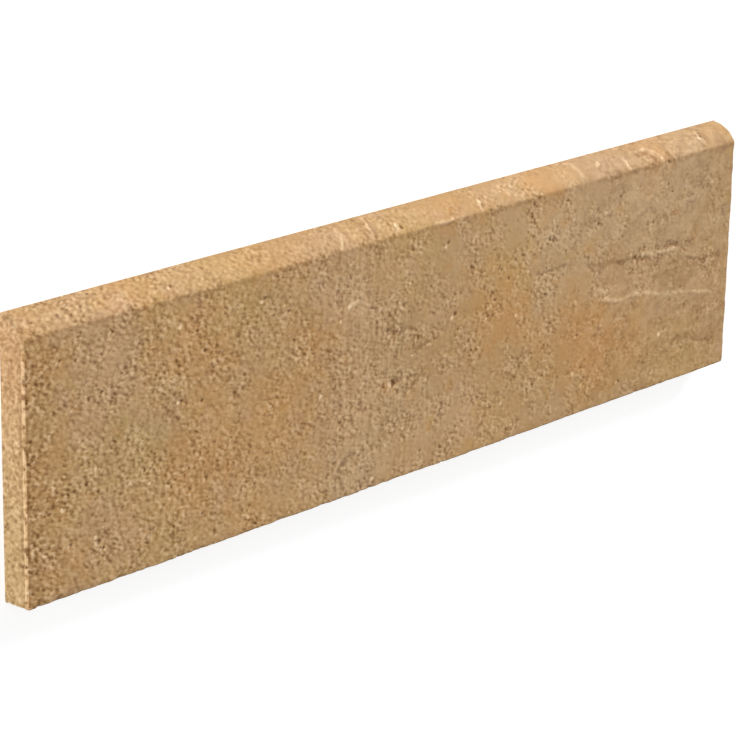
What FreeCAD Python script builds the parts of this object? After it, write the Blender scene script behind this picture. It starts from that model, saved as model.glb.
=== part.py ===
"""Bullnose skirting tile: one pressed and fired ceramic piece, 300 x 80 x 9 mm.

The tile lies on its back with its face up. X runs along the wall, +Y is up the wall,
towards the rounded nose, and Z goes from the back (0) to the face. The origin is the
centre of the back. The nose is one arc, square to the back at the top of the tile,
and it meets the flat face a little below the top in a visible, slightly eased line.
Every edge that shows has a small arris, also round the nose at both ends. The back
has the rows of shallow pressed keys that adhesive grips, inside a plain rim.
"""

import FreeCAD, Part
import math
import os
import Sketcher

DRIVING_SIZES = (
    ("tile_length", 300.0, "along the wall, end to end"),
    ("tile_height", 80.0, "up the wall, bottom edge to top of nose"),
    ("tile_thickness", 9.0, "back to face"),
    ("nose_drop", 5.4, "how far below the top the nose meets the face"),
    ("crease_radius", 2.0, "easing of the line where nose and face meet"),
    ("arris_radius", 0.5, "rounding of the foot's and the ends' edges"),
    ("key_width", 5.0, "width of one key in the back"),
    ("key_depth", 0.6, "depth of the keys"),
    ("key_pitch", 8.0, "centre to centre of the rows of keys"),
    ("key_rim", 9.0, "plain rim round the keys"),
)

# As many rows of keys as fit between the rims at the stated pitch.
ROW_COUNT = (
    "(floor((sizes.tile_height - 2 * sizes.key_rim - sizes.key_width)"
    " / sizes.key_pitch) + 1)"
)

# How near two lengths must be to count as the same, when edges are picked out.
SAME = 1e-4

doc = FreeCAD.newDocument("skirting_tile")


def make_sheet():
    """The driving dimensions, each in its own cell with an alias."""
    cells = doc.addObject("Spreadsheet::Sheet", "sizes")
    for row, (alias, value, note) in enumerate(DRIVING_SIZES, start=1):
        cells.set(f"A{row}", alias)
        cells.set(f"B{row}", str(value))
        cells.set(f"C{row}", note)
        cells.setAlias(f"B{row}", alias)
    doc.recompute()
    return cells


def origin_feature(body, role):
    """One of the body's own origin planes or axes, by its role."""
    return next(f for f in body.Origin.OriginFeatures if f.Role == role)


def sketch_on(body, role, name):
    """A new sketch of the body on one of its origin planes."""
    sketch = body.newObject("Sketcher::SketchObject", name)
    sketch.AttachmentSupport = [(origin_feature(body, role), "")]
    sketch.MapMode = "FlatFace"
    return sketch


def bind(sketch, constraint, name, expression):
    """Adds a dimension to the sketch, names it and ties it to the sheet."""
    index = sketch.addConstraint(constraint)
    sketch.renameConstraint(index, name)
    sketch.setExpression(f"Constraints.{name}", expression)


def section_sketch(body):
    """The tile's section on the YZ plane: sketch x is the tile's Y, sketch y its Z."""
    half = sizes.tile_height / 2
    thick = sizes.tile_thickness
    drop = sizes.nose_drop
    radius = (thick**2 + drop**2) / (2 * drop)
    sketch = sketch_on(body, "YZ_Plane", "section")
    back_foot = FreeCAD.Vector(-half, 0, 0)
    face_foot = FreeCAD.Vector(-half, thick, 0)
    face_top = FreeCAD.Vector(half - drop, thick, 0)
    back_top = FreeCAD.Vector(half, 0, 0)
    nose_centre = FreeCAD.Vector(half - radius, 0, 0)
    back = sketch.addGeometry(Part.LineSegment(back_top, back_foot))
    foot = sketch.addGeometry(Part.LineSegment(back_foot, face_foot))
    face = sketch.addGeometry(Part.LineSegment(face_foot, face_top))
    turn = math.atan2(thick, radius - drop)
    circle = Part.Circle(nose_centre, FreeCAD.Vector(0, 0, 1), radius)
    nose = sketch.addGeometry(Part.ArcOfCircle(circle, 0, turn))
    start, end, centre = 1, 2, 3
    sketch.addConstraint(
        [
            Sketcher.Constraint("Coincident", back, end, foot, start),
            Sketcher.Constraint("Coincident", foot, end, face, start),
            Sketcher.Constraint("Coincident", face, end, nose, end),
            Sketcher.Constraint("Coincident", nose, start, back, start),
            Sketcher.Constraint("PointOnObject", back, start, -1),
            Sketcher.Constraint("Symmetric", back, start, back, end, -1, 1),
            Sketcher.Constraint("Vertical", foot),
            Sketcher.Constraint("Horizontal", face),
            Sketcher.Constraint("PointOnObject", nose, centre, -1),
        ]
    )
    height = Sketcher.Constraint("DistanceX", back, end, back, start, 2 * half)
    bind(sketch, height, "height", "sizes.tile_height")
    thickness = Sketcher.Constraint("DistanceY", foot, start, foot, end, thick)
    bind(sketch, thickness, "thickness", "sizes.tile_thickness")
    nose_reach = Sketcher.Constraint("DistanceX", face, end, nose, start, drop)
    bind(sketch, nose_reach, "nose_drop", "sizes.nose_drop")
    return sketch


def add_blank(body):
    """The section drawn out along the wall."""
    blank = body.newObject("PartDesign::Pad", "blank")
    blank.Profile = section_sketch(body)
    blank.Midplane = True
    blank.setExpression("Length", "sizes.tile_length")
    doc.recompute()
    return blank


def edges_where(shape, wanted):
    """Names of the shape's edges whose end points, taken together, pass a test."""
    names = []
    for number, edge in enumerate(shape.Edges, start=1):
        if wanted([vertex.Point for vertex in edge.Vertexes]):
            names.append(f"Edge{number}")
    return names


def add_rounding(body, base, name, edges, radius):
    """A fillet of the base's named edges, tied to one of the driving sizes."""
    fillet = body.newObject("PartDesign::Fillet", name)
    fillet.Base = (base, edges)
    fillet.setExpression("Radius", radius)
    doc.recompute()
    return fillet


def ease_crease(body, blank):
    """The line along the tile where the nose meets the face, eased a little."""
    crease_y = sizes.tile_height / 2 - sizes.nose_drop

    def on_crease(ends):
        level = all(abs(p.z - sizes.tile_thickness) < SAME for p in ends)
        return level and all(abs(p.y - crease_y) < SAME for p in ends)

    edges = edges_where(blank.Shape, on_crease)
    return add_rounding(body, blank, "crease", edges, "sizes.crease_radius")


def add_arris(body, eased):
    """The small rounding of every edge that shows: all round both ends, and the foot.

    Only the edges of the back stay sharp.
    """
    half_length = sizes.tile_length / 2
    half_height = sizes.tile_height / 2

    def at_end(ends):
        on_back = all(abs(p.z) < SAME for p in ends)
        return all(abs(abs(p.x) - half_length) < SAME for p in ends) and not on_back

    def at_foot(ends):
        level = all(abs(p.z - sizes.tile_thickness) < SAME for p in ends)
        return level and all(abs(p.y + half_height) < SAME for p in ends)

    def along_tile(ends):
        return abs(ends[0].x - ends[-1].x) > SAME

    edges = edges_where(
        eased.Shape,
        lambda ends: at_foot(ends) or (at_end(ends) and not along_tile(ends)),
    )
    return add_rounding(body, eased, "arris", edges, "sizes.arris_radius")


def key_sketch(body):
    """One key on the back, the bottom row's: a slot with round ends, along X."""
    reach = sizes.tile_length / 2 - sizes.key_rim - sizes.key_width / 2
    free = sizes.tile_height - 2 * sizes.key_rim - sizes.key_width
    row_y = -math.floor(free / sizes.key_pitch) / 2 * sizes.key_pitch
    radius = sizes.key_width / 2
    sketch = sketch_on(body, "XY_Plane", "key_outline")
    up = FreeCAD.Vector(0, 0, 1)
    left = FreeCAD.Vector(-reach, row_y, 0)
    right = FreeCAD.Vector(reach, row_y, 0)
    side = FreeCAD.Vector(0, radius, 0)
    quarter = math.pi / 2
    left_end = Part.ArcOfCircle(Part.Circle(left, up, radius), quarter, 3 * quarter)
    right_end = Part.ArcOfCircle(Part.Circle(right, up, radius), -quarter, quarter)
    lower = sketch.addGeometry(Part.LineSegment(left - side, right - side))
    west = sketch.addGeometry(left_end)
    east = sketch.addGeometry(right_end)
    upper = sketch.addGeometry(Part.LineSegment(right + side, left + side))
    start, end, centre = 1, 2, 3
    sketch.addConstraint(
        [
            Sketcher.Constraint("Tangent", lower, end, east, start),
            Sketcher.Constraint("Tangent", east, end, upper, start),
            Sketcher.Constraint("Tangent", upper, end, west, start),
            Sketcher.Constraint("Tangent", west, end, lower, start),
            Sketcher.Constraint("Equal", west, east),
            Sketcher.Constraint("Symmetric", west, centre, east, centre, -2),
        ]
    )
    width = Sketcher.Constraint("Radius", east, radius)
    bind(sketch, width, "end_radius", "sizes.key_width / 2")
    spread = Sketcher.Constraint("DistanceX", west, centre, east, centre, 2 * reach)
    length = "sizes.tile_length - 2 * sizes.key_rim - sizes.key_width"
    bind(sketch, spread, "centres", length)
    row = Sketcher.Constraint("DistanceY", east, centre, -1, 1, -row_y)
    bind(sketch, row, "row", f"({ROW_COUNT} - 1) / 2 * sizes.key_pitch")
    return sketch


def add_keys(body):
    """The rows of keys in the back, one pocket repeated up the tile."""
    key = body.newObject("PartDesign::Pocket", "key")
    key.Profile = key_sketch(body)
    key.Reversed = True
    key.setExpression("Length", "sizes.key_depth")
    doc.recompute()
    rows = body.newObject("PartDesign::LinearPattern", "keys")
    rows.Originals = [key]
    rows.Direction = (origin_feature(body, "Y_Axis"), [""])
    rows.setExpression("Occurrences", ROW_COUNT)
    rows.setExpression("Length", f"({ROW_COUNT} - 1) * sizes.key_pitch")
    body.Tip = rows
    doc.recompute()
    return rows


def check_document(body):
    """Stops if any object failed, or if an edge or the keys took nothing off."""
    for item in doc.Objects:
        if "Invalid" in item.State or "Error" in item.State:
            raise RuntimeError(f"{item.Label} failed: {item.State}")
    stages = ("blank", "crease", "arris", "key", "keys")
    volumes = [doc.getObject(stage).Shape.Volume for stage in stages]
    if volumes != sorted(volumes, reverse=True) or len(set(volumes)) < len(volumes):
        raise RuntimeError(f"{body.Label}: a cut took nothing off: {volumes}")


def write_part(body):
    """Checks the finished solid and writes it under the body's label."""
    shape = body.Shape
    if shape.isNull() or not shape.isValid() or len(shape.Solids) != 1:
        raise RuntimeError(f"{body.Label} is not one valid solid")
    os.makedirs("parts", exist_ok=True)
    shape.exportStep(f"parts/{body.Label}.step")
    box = shape.optimalBoundingBox(True, False)
    print(f"{body.Label}: {box.XLength:.2f} x {box.YLength:.2f} x {box.ZLength:.2f} mm")
    print(f"volume {shape.Volume / 1000:.2f} cm3, {len(shape.Faces)} faces")


sizes = make_sheet()
tile = doc.addObject("PartDesign::Body", "skirting_tile")
tile.Label = "skirting_tile"
tile_blank = add_blank(tile)
tile_eased = ease_crease(tile, tile_blank)
add_arris(tile, tile_eased)
add_keys(tile)
check_document(tile)
write_part(tile)
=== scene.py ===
"""A bullnose skirting tile of fired clay, with the sandy, rubbed face of old terracotta.

The tile lies on its back with its face up. X runs along the wall, +Y up the wall to the
rounded nose, and Z from the back to the face. Lengths are in millimetres where a name
doesn't say otherwise, and the finished mesh is in metres.
"""

import math
from collections import namedtuple

import bmesh
import bpy
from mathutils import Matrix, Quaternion, Vector


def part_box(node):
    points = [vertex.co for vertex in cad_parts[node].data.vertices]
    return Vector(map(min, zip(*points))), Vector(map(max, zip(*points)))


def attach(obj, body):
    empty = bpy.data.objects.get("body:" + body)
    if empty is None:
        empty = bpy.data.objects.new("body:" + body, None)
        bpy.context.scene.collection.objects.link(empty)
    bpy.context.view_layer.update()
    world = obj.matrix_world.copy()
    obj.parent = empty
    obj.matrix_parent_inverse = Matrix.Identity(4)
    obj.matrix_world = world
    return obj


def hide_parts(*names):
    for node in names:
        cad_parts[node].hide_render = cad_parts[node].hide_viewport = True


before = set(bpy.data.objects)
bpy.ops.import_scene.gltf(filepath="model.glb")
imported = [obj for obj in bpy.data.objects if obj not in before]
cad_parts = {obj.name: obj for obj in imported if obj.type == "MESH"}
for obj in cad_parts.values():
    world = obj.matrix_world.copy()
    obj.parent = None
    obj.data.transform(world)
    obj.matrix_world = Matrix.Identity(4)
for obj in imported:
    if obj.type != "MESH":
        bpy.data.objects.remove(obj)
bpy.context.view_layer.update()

MM = 0.001

# The tile's own sizes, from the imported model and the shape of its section.
LOW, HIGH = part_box("skirting_tile")
LENGTH = (HIGH.x - LOW.x) / MM
HEIGHT = (HIGH.y - LOW.y) / MM
THICK = (HIGH.z - LOW.z) / MM
HALF_LENGTH = LENGTH / 2
HALF_HEIGHT = HEIGHT / 2
NOSE_DROP = 5.4
CREASE_LINE = HALF_HEIGHT - NOSE_DROP
CREASE_RADIUS = 2.0
ARRIS = 0.5

# The keys pressed in the back.
KEY_WIDTH = 5.0
KEY_DEPTH = 0.6
KEY_PITCH = 8.0
KEY_RIM = 9.0
KEY_DRAFT = 0.12
KEY_END_PIECES = 10

# How finely the skin of the tile is divided.
SKIN_STEP = 0.6
FOOT_STEP = 0.85
ARRIS_PIECES = 3

# Bands of the tile, each as where it begins and where it is full, in millimetres. These
# lie along X, from the tile's middle: the brushed and the smeared clay, then where the
# sand calms, where the nose is smoother and its ridges have more painted highlight, and
# where the face darkens.
BRUSH_LEFT = (-52, -34)
BRUSH_RIGHT = (16, -4)
SMEAR_SHAPE = (52, 92)
SMEAR_TONE = (40, 100)
CALM_PAST_LEFT = (-115, -60)
QUIET = (-30, 30)
CALM_RIGHT = (50, 100)
NOSE_SMOOTH = (-85, -45)
NOSE_RIDGED = (-25, 20)
DARK_LEFT = (-128, -144)
DARK_RIGHT = (136, 146)

# These lie up the ends' own faces, along Y from the middle.
ROSE_UPPER = (0, 30)
OLIVE_LOWER = (20, -30)

# These are measured from the crease under the nose, the face, the foot and the ends.
NOSE = (CREASE_LINE - 0.6, CREASE_LINE + 1.4)
NOSE_FADE = (CREASE_LINE - 2.1, CREASE_LINE + 1.9)
CREASE_BELOW = (CREASE_LINE - 2.0, CREASE_LINE - 1.0)
CREASE_ABOVE = (CREASE_LINE + 0.4, CREASE_LINE - 0.4)
CREASE_TOP = (THICK - 1.6, THICK - 0.8)
FOOT_WORN = (3 - HALF_HEIGHT, 1 - HALF_HEIGHT)
# Where the painted shade along the foot lies.
FOOT_SHADE_LINE = (0.9 - HALF_HEIGHT, 0.2 - HALF_HEIGHT)
LEFT_DARK_LINE = (10 - HALF_LENGTH, 2 - HALF_LENGTH)
LEFT_SANDY = (14 - HALF_LENGTH, 2 - HALF_LENGTH)
RIGHT_DARK_LINE = (HALF_LENGTH - 0.7, HALF_LENGTH - 0.2)

# The surfaces of the tile, as numbers on its faces.
BACK, SKIN, EDGE = 0, 1, 2

# Where every pattern's noise starts, so that each run gives the same tile.
SEED = 7.3

# How near two lengths must be to count as the same, and the decimals that this keeps.
SAME = 1e-4
SAME_DECIMALS = 4


def srgb(red, green, blue):
    """A colour as it looks on screen, 0 to 255, as the light that a shader wants."""
    def light(level):
        part = level / 255
        return part / 12.92 if part <= 0.04045 else ((part + 0.055) / 1.055) ** 2.4

    return (light(red), light(green), light(blue), 1.0)


# Marks on the face and nose that stand out one by one: millimetres from the middle of
# the tile along X, and up its skin, where 0 to 34 is the upper half of the flat face
# and 35 to 45 is the nose. The third number is the mark's radius.
PITS = (
    (-141.5, -15, 0.8), (-137.5, 26, 0.8), (-136, -23, 0.7), (-134.5, -25.5, 0.9),
    (-124.5, -27, 1.3), (-123, 14.5, 0.7), (-123, -29.5, 0.9), (-108, -11, 0.9),
    (-105.5, -30, 0.6), (-98.5, -18.5, 0.7), (-94.5, 5, 1.2), (-87, 3.5, 0.9),
    (-86.5, -29.5, 0.9), (-85.5, 17.5, 1), (-85, -19.5, 1.2), (-65.5, -20, 0.7),
    (-63, 27, 1), (-54, 21.5, 1), (-21, 24.5, 0.8), (-13, 7, 1),
    (-10.5, -9.5, 1.4), (-6.5, 13, 1.2), (2, -33.5, 0.7), (4.5, -11.5, 0.8),
    (12.5, 28, 0.8), (16, 5.5, 1.1), (17.5, 0.5, 0.8), (31, 1.5, 1),
    (36.5, 15, 0.8), (40, 11.5, 0.9), (58.5, 20, 1), (73.5, -14, 0.9),
    (82, 20, 0.8), (93.5, -23, 0.7), (95, -33.5, 0.9), (101.5, 28.5, 0.8),
    (109, 15.5, 0.8), (116, 34, 1.1), (116, 26.5, 0.8), (118.5, 23.5, 0.7),
    (-96.5, 38, 0.9), (-7, 37, 0.8), (39, 40, 0.7), (135.5, 39.5, 0.8),
    (101, 5.5, 0.7), (104.5, 4, 0.8), (117, -21.5, 0.7),
)
PALE_CHIPS = (
    (-126, -25.5, 0.9), (-125.5, -6.5, 0.8), (-137.5, -15, 0.9), (-113.5, -13.5, 1),
    (-106.5, -15.5, 0.9), (-95, 26, 1), (-89.5, -36, 0.8), (-64.5, 26.5, 1),
    (-96, 5, 1), (-81.5, -37, 0.8), (-12.5, -9.5, 0.9), (14.5, 5, 1.1),
    (-40.5, -6.5, 1), (-33, 13.5, 0.8), (-29.5, 17.5, 1.3), (-24, 14.5, 0.8),
    (-19, -37, 0.9), (-2.5, -3, 0.7), (11, 27, 0.8), (34, 28.5, 0.7),
    (38, -27.5, 1), (43.5, -1, 0.8), (48.5, 12, 0.9), (71.5, -26, 0.9),
    (60, 25.5, 0.7), (69.5, 24, 0.8), (85.5, 23, 0.8), (104.5, 5, 0.8),
    (104.5, 6, 0.9), (114.5, -22.5, 1.2), (113.5, 25, 0.7), (-9, 38, 0.9),
    (27.5, 38, 1), (134, 39, 0.9), (112.5, 36, 0.9),
)
ARRIS_CHIPS = (
    (-150, 23, 1), (-150, 19, 1.4), (-150, 11, 0.7), (-150, -15, 0.7),
    (-150, -23, 1.5), (-150, -27.5, 0.8), (-146, -40, 0.9), (-96, -40, 0.8),
    (12, -40, 1), (104, -40, 0.8), (150, -18, 0.7), (150, 22, 0.6),
    (150, 4, 0.5),
)
CRACKS = (
    ((50, 10.5), (55.5, 9.5), (62, 10), (66.5, 9.5)),
    ((76.5, 8), (80, 6), (83.5, 6.5), (88, 6.5), (92, 6), (96.5, 5.5)),
    ((99.5, 5.5), (103, 4.5), (107, 4), (111.5, 3)),
    ((111, 7), (114.5, 6), (118, 6), (122.5, 5), (126.5, 3.5)),
    ((127, 0.5), (130.5, -0.5), (136, -2.5), (138, -2), (140.5, -1.5), (144.5, -2)),
    ((-13.5, 7), (-10, 6), (-5.5, 6), (-2.5, 5)),
    ((-1, -2), (5, 0), (10, -1)),
    ((-33, 29), (-34, 24), (-34, 18)),
    ((-33, -30.5), (-30, -28.5), (-26.5, -27.5)),
    ((128, -26.5), (132, -28), (137, -29.5), (143, -31)),
    ((122, -26), (126, -27)),
    ((102.5, 39), (107.5, 38.5), (109.5, 36), (110.5, 34)),
    ((116.5, 39), (117, 35.5)),
    ((136, 41), (136, 39)),
    ((-16.5, 43), (-17.5, 39), (-18, 36)),
    ((29, 39), (28, 36)),
)
RIDGES = (
    ((101, 6.5), (107, 5.5), (113.5, 5), (117, 4.5), (121.5, 4), (125, 2)),
    ((125, 2), (128.5, 1), (134, 0)),
    ((97, -6.5), (101, -6.5), (105.5, -7), (114, -9), (121, -10)),
    ((121, -10), (130, -11.5), (141.5, -14)),
    ((81, -1), (87, -2.5)),
    ((83.5, -4.5), (90, -6), (96, -7)),
    ((107.5, 17.5), (107, 16), (107, 14), (108, 13)),
    ((-34.5, 27.5), (-35, 23), (-35.5, 18.5)),
    ((-30, 17.5), (-26.5, 18), (-24.5, 18)),
    ((-30.5, 42), (-30.5, 39), (-31.5, 37), (-32.5, 35)),
    ((-17.5, 44), (-19, 39.5), (-19, 36.5)),
    ((-8.5, 38.5), (-9, 36)),
    ((7, 35), (10.5, 34.5), (14, 35)),
    ((27.5, 39), (27, 37), (27, 35)),
    ((39, 42), (40, 39.5), (40.5, 37.5)),
    ((71, 44), (74, 43), (74, 40), (74.5, 37)),
    ((84.5, 40.5), (83, 39)),
    ((96, 39), (96, 37), (96.5, 35)),
    ((103, 40.5), (108, 40.5), (111, 38.5), (112.5, 36), (113, 33)),
    ((117.5, 38.5), (118.5, 36), (119.5, 34)),
    ((135, 42), (135, 39), (135, 37)),
)

# Larger patches of the face where the clay has fired to another tone, as the place of
# the middle in millimetres, the radius, and how strong the tone is there.
ORANGE_PATCHES = (
    (-88, 18, 24, 0.8), (-86, -16, 26, 0.8), (-58, -8, 24, 0.6),
    (-150, -4, 22, 1), (36, 3, 25, 0.8), (50, -7, 20, 0.5),
    (76, -18, 30, 1), (94, -22, 20, 0.7), (-44, 7, 18, 0.6),
    (-150, -30, 26, 1), (-148, 24, 18, 1), (-50, 34, 14, 0.5),
    (26, 34, 16, 0.4), (-68, -36, 14, 0.5), (-110, 38, 15, 0.7),
    (-64, 39, 14, 0.7), (14, 39, 14, 0.6), (58, 39, 18, 0.8),
    (112, 39, 20, 0.7), (144, 41, 12, 0.6),
)
GREY_PATCHES = (
    (-24, -14, 34, 0.9), (-120, 8, 24, 0.7), (-124, -25, 22, 0.6),
    (116, 26, 38, 1), (80, 28, 30, 0.9), (104, 2, 32, 0.8),
    (138, -8, 26, 0.7), (10, -24, 28, 0.7), (-24, 18, 24, 0.8),
    (-68, 10, 14, 0.5), (-122, 30, 24, 0.8), (146, 30, 18, 0.8),
    (-50, -24, 14, 0.6), (10, 18, 26, 0.5), (-140, 39, 13, 0.7),
    (-88, 38, 12, 0.6), (-38, 39, 16, 0.9), (34, 39, 12, 0.5),
    (86, 39, 16, 0.6),
)
OLIVE_PATCHES = (
    (-110, -4, 22, 0.8), (-72, 27, 22, 0.8), (39, 14, 16, 0.8),
    (4, 24, 20, 0.5), (-132, -10, 18, 0.5), (56, -20, 16, 0.5),
    (-100, -36, 18, 0.6), (124, -34, 20, 0.6), (-104, 30, 14, 0.4),
    (-103, 42, 11, 0.8), (-6, 40, 13, 0.8), (46, 43, 11, 0.6),
    (146, 37, 10, 0.8), (-140, 41, 13, 0.7), (-84, 42, 12, 0.7),
    (-66, 42, 12, 0.7), (-146, 14, 14, 0.5), (-146, -18, 14, 0.5),
    (-146, -34, 12, 0.5),
)
SCORCH_PATCHES = (
    (-91, 6.6, 9, 0.6), (-62, 9.6, 9, 0.5), (-48, -25, 9, 0.7),
    (-2, 5.6, 12, 0.7), (24, 5.6, 8, 0.4), (43, -19, 9, 0.7),
    (91, -21, 11, 0.8), (88, -37, 9, 0.6), (86, 6.6, 8, 0.6),
    (98, 5.6, 9, 0.6), (110, 5.6, 8, 0.6), (112, 16.6, 7, 0.5),
    (124, -1.4, 12, 0.7), (136, -4, 9, 0.5), (138, -28, 16, 0.7),
    (-147, -24, 13, 0.9), (-148, 2, 10, 0.6), (-124, -26, 10, 0.6),
    (-148, 20, 14, 0.8), (-150, -12, 12, 0.6), (-146, -36, 12, 0.5),
    (-128, -34, 12, 0.5), (148, -4, 14, 0.9), (148, -20, 12, 0.7),
    (114, -2, 12, 0.5), (96, -30, 12, 0.4), (146, 0, 11, 0.5),
)
BLOOM_PATCHES = (
    (118, 28, 30, 1), (92, 24, 24, 0.6), (-26, 18, 16, 0.6),
    (134, 8, 16, 0.4), (114, -6, 16, 0.3), (-20, -14, 18, 0.2),
    (8, -26, 18, 0.4), (-26, -34, 20, 1), (62, 24, 28, 0.7),
    (66, 8, 26, 0.6), (38, 28, 22, 0.5), (52, -12, 22, 0.5),
    (-8, 0, 16, 0.5), (62, -32, 18, 0.8), (-54, 30, 14, 0.5),
    (16, 28, 16, 0.6), (-6, 12, 14, 0.6), (-4, -16, 14, 0.6),
    (-106, 0, 13, 0.9), (95, 14, 13, 0.4), (147, 10, 12, 0.7),
)


class Term:
    """One output of a node tree, so that a rule can be written as a sum."""

    def __init__(self, graph, socket):
        self.graph = graph
        self.socket = socket

    def __add__(self, other):
        return self.graph.math("ADD", self, other)

    def __radd__(self, other):
        return self.graph.math("ADD", other, self)

    def __sub__(self, other):
        return self.graph.math("SUBTRACT", self, other)

    def __rsub__(self, other):
        return self.graph.math("SUBTRACT", other, self)

    def __mul__(self, other):
        return self.graph.math("MULTIPLY", self, other)

    def __rmul__(self, other):
        return self.graph.math("MULTIPLY", other, self)

    def __truediv__(self, other):
        return self.graph.math("DIVIDE", self, other)

    def __pow__(self, other):
        return self.graph.math("POWER", self, other)

    def at_most(self, other):
        return self.graph.math("MINIMUM", self, other)

    def at_least(self, other):
        return self.graph.math("MAXIMUM", self, other)

    def eased(self, low, high):
        """0 at low, 1 at high and smooth between; high may be the smaller one."""
        ends = {"Value": self, "From Min": low, "From Max": high}
        return self.graph.node("ShaderNodeMapRange", {"interpolation_type": "SMOOTHSTEP"}, ends)


class Graph:
    """A shader or geometry node tree that is filled by short calls."""

    def __init__(self, tree):
        self.tree = tree

    def node(self, kind, settings=None, inputs=None, output=0):
        """A node of a kind: its settings first, then its sockets' values or links."""
        made = self.tree.nodes.new(kind)
        for name, value in (settings or {}).items():
            setattr(made, name, value)
        for key, value in (inputs or {}).items():
            socket = self.pick(made.inputs, key)
            if isinstance(value, Term):
                self.tree.links.new(value.socket, socket)
            else:
                socket.default_value = value
        return None if output is None else Term(self, self.pick(made.outputs, output))

    @staticmethod
    def pick(sockets, key):
        """A socket by its number, its identifier or its name."""
        if isinstance(key, int):
            return sockets[key]
        for socket in sockets:
            if socket.identifier == key:
                return socket
        return next(socket for socket in sockets if socket.name == key and socket.enabled)

    def math(self, operation, *terms):
        """Maths on numbers."""
        return self.node("ShaderNodeMath", {"operation": operation}, dict(enumerate(terms)))

    def vector(self, operation, *terms, output=0):
        """Vector maths; the scale of SCALE is its fourth input."""
        inputs = dict(enumerate(terms))
        if operation == "SCALE":
            inputs = {0: terms[0], "Scale": terms[1]}
        return self.node("ShaderNodeVectorMath", {"operation": operation}, inputs, output)

    def mix(self, factor, first, second):
        """The first colour where the factor is 0 and the second where it is 1."""
        inputs = {"Factor_Float": factor, "A_Color": first, "B_Color": second}
        return self.node("ShaderNodeMix", {"data_type": "RGBA"}, inputs, "Result_Color")

    def noise(self, place, size, detail=1.0, roughness=0.5, seed=0.0):
        """Soft noise about 0.5, with blobs about size across in the place's units."""
        inputs = {"Vector": place, "W": SEED + seed, "Scale": 1 / size}
        inputs |= {"Detail": detail, "Roughness": roughness}
        return self.node("ShaderNodeTexNoise", {"noise_dimensions": "4D"}, inputs)

    def ripple(self, place, size, detail=1.0, roughness=0.5, seed=0.0):
        """The same soft noise about 0."""
        return self.noise(place, size, detail, roughness, seed) - 0.5

    def axes(self, place):
        """The X, Y and Z of a place, each by itself."""
        apart = self.node("ShaderNodeSeparateXYZ", None, {"Vector": place}).socket.node
        return [Term(self, apart.outputs[axis]) for axis in "XYZ"]

    def spread(self, place, x, y, z):
        """The place squeezed so that noise is drawn out x, y and z times along the axes."""
        return self.vector("MULTIPLY", place, (1 / x, 1 / y, 1 / z))


def new_object(name, data):
    """An object in the scene, unturned and at the origin."""
    made = bpy.data.objects.new(name, data)
    bpy.context.scene.collection.objects.link(made)
    return made


SkinPoint = namedtuple("SkinPoint", "y z out_y out_z up")


def arc(centre_y, centre_z, radius, start, stop, step):
    """Points of an arc in the section, turning clockwise, with the first left out."""
    pieces = max(ARRIS_PIECES, round(radius * (start - stop) / step))
    for number in range(1, pieces + 1):
        turn = start + (stop - start) * number / pieces
        out_y, out_z = math.cos(turn), math.sin(turn)
        yield centre_y + radius * out_y, centre_z + radius * out_z, out_y, out_z


def section():
    """The outline from the back's bottom edge, up the foot and over the face and nose.

    The height up the skin equals Y on the flat face and runs on past both its edges.
    """
    nose_radius = (THICK**2 + NOSE_DROP**2) / (2 * NOSE_DROP)
    nose_y = HALF_HEIGHT - nose_radius
    crease_z = THICK - CREASE_RADIUS
    crease_y = nose_y + math.sqrt((nose_radius - CREASE_RADIUS) ** 2 - crease_z**2)
    meeting = math.atan2(crease_z, crease_y - nose_y)
    foot_top = THICK - ARRIS
    foot_rows = round(foot_top / FOOT_STEP)
    rows = [(-HALF_HEIGHT, foot_top * n / foot_rows, -1.0, 0.0) for n in range(foot_rows + 1)]
    rows += arc(ARRIS - HALF_HEIGHT, foot_top, ARRIS, math.pi, math.pi / 2, SKIN_STEP)
    face_start = len(rows) - 1
    face_rows = round((crease_y - rows[-1][0]) / SKIN_STEP)
    for number in range(1, face_rows + 1):
        y = ARRIS - HALF_HEIGHT + (crease_y + HALF_HEIGHT - ARRIS) * number / face_rows
        rows.append((y, THICK, 0.0, 1.0))
    rows += arc(crease_y, crease_z, CREASE_RADIUS, math.pi / 2, meeting, SKIN_STEP)
    rows += arc(nose_y, 0.0, nose_radius, meeting, 0.0, SKIN_STEP)
    runs = [0.0]
    for one, two in zip(rows, rows[1:]):
        runs.append(runs[-1] + math.dist(one[:2], two[:2]))
    shift = rows[face_start][0] - runs[face_start]
    return [SkinPoint(*row, run + shift) for row, run in zip(rows, runs)], foot_rows


def rings():
    """Where the section stands along the tile: x, how far it is drawn in, its tilt."""
    reach = HALF_LENGTH - ARRIS
    turns = [math.pi / 2 * n / ARRIS_PIECES for n in range(ARRIS_PIECES, 0, -1)]
    left = [(-reach - ARRIS * math.sin(t), ARRIS * (1 - math.cos(t)), -t) for t in turns]
    right = [(-x, inset, -turn) for x, inset, turn in reversed(left)]
    count = round(2 * reach / SKIN_STEP)
    middle = [(-reach + 2 * reach * n / count, 0.0, 0.0) for n in range(count + 1)]
    return left + middle + right


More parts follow.
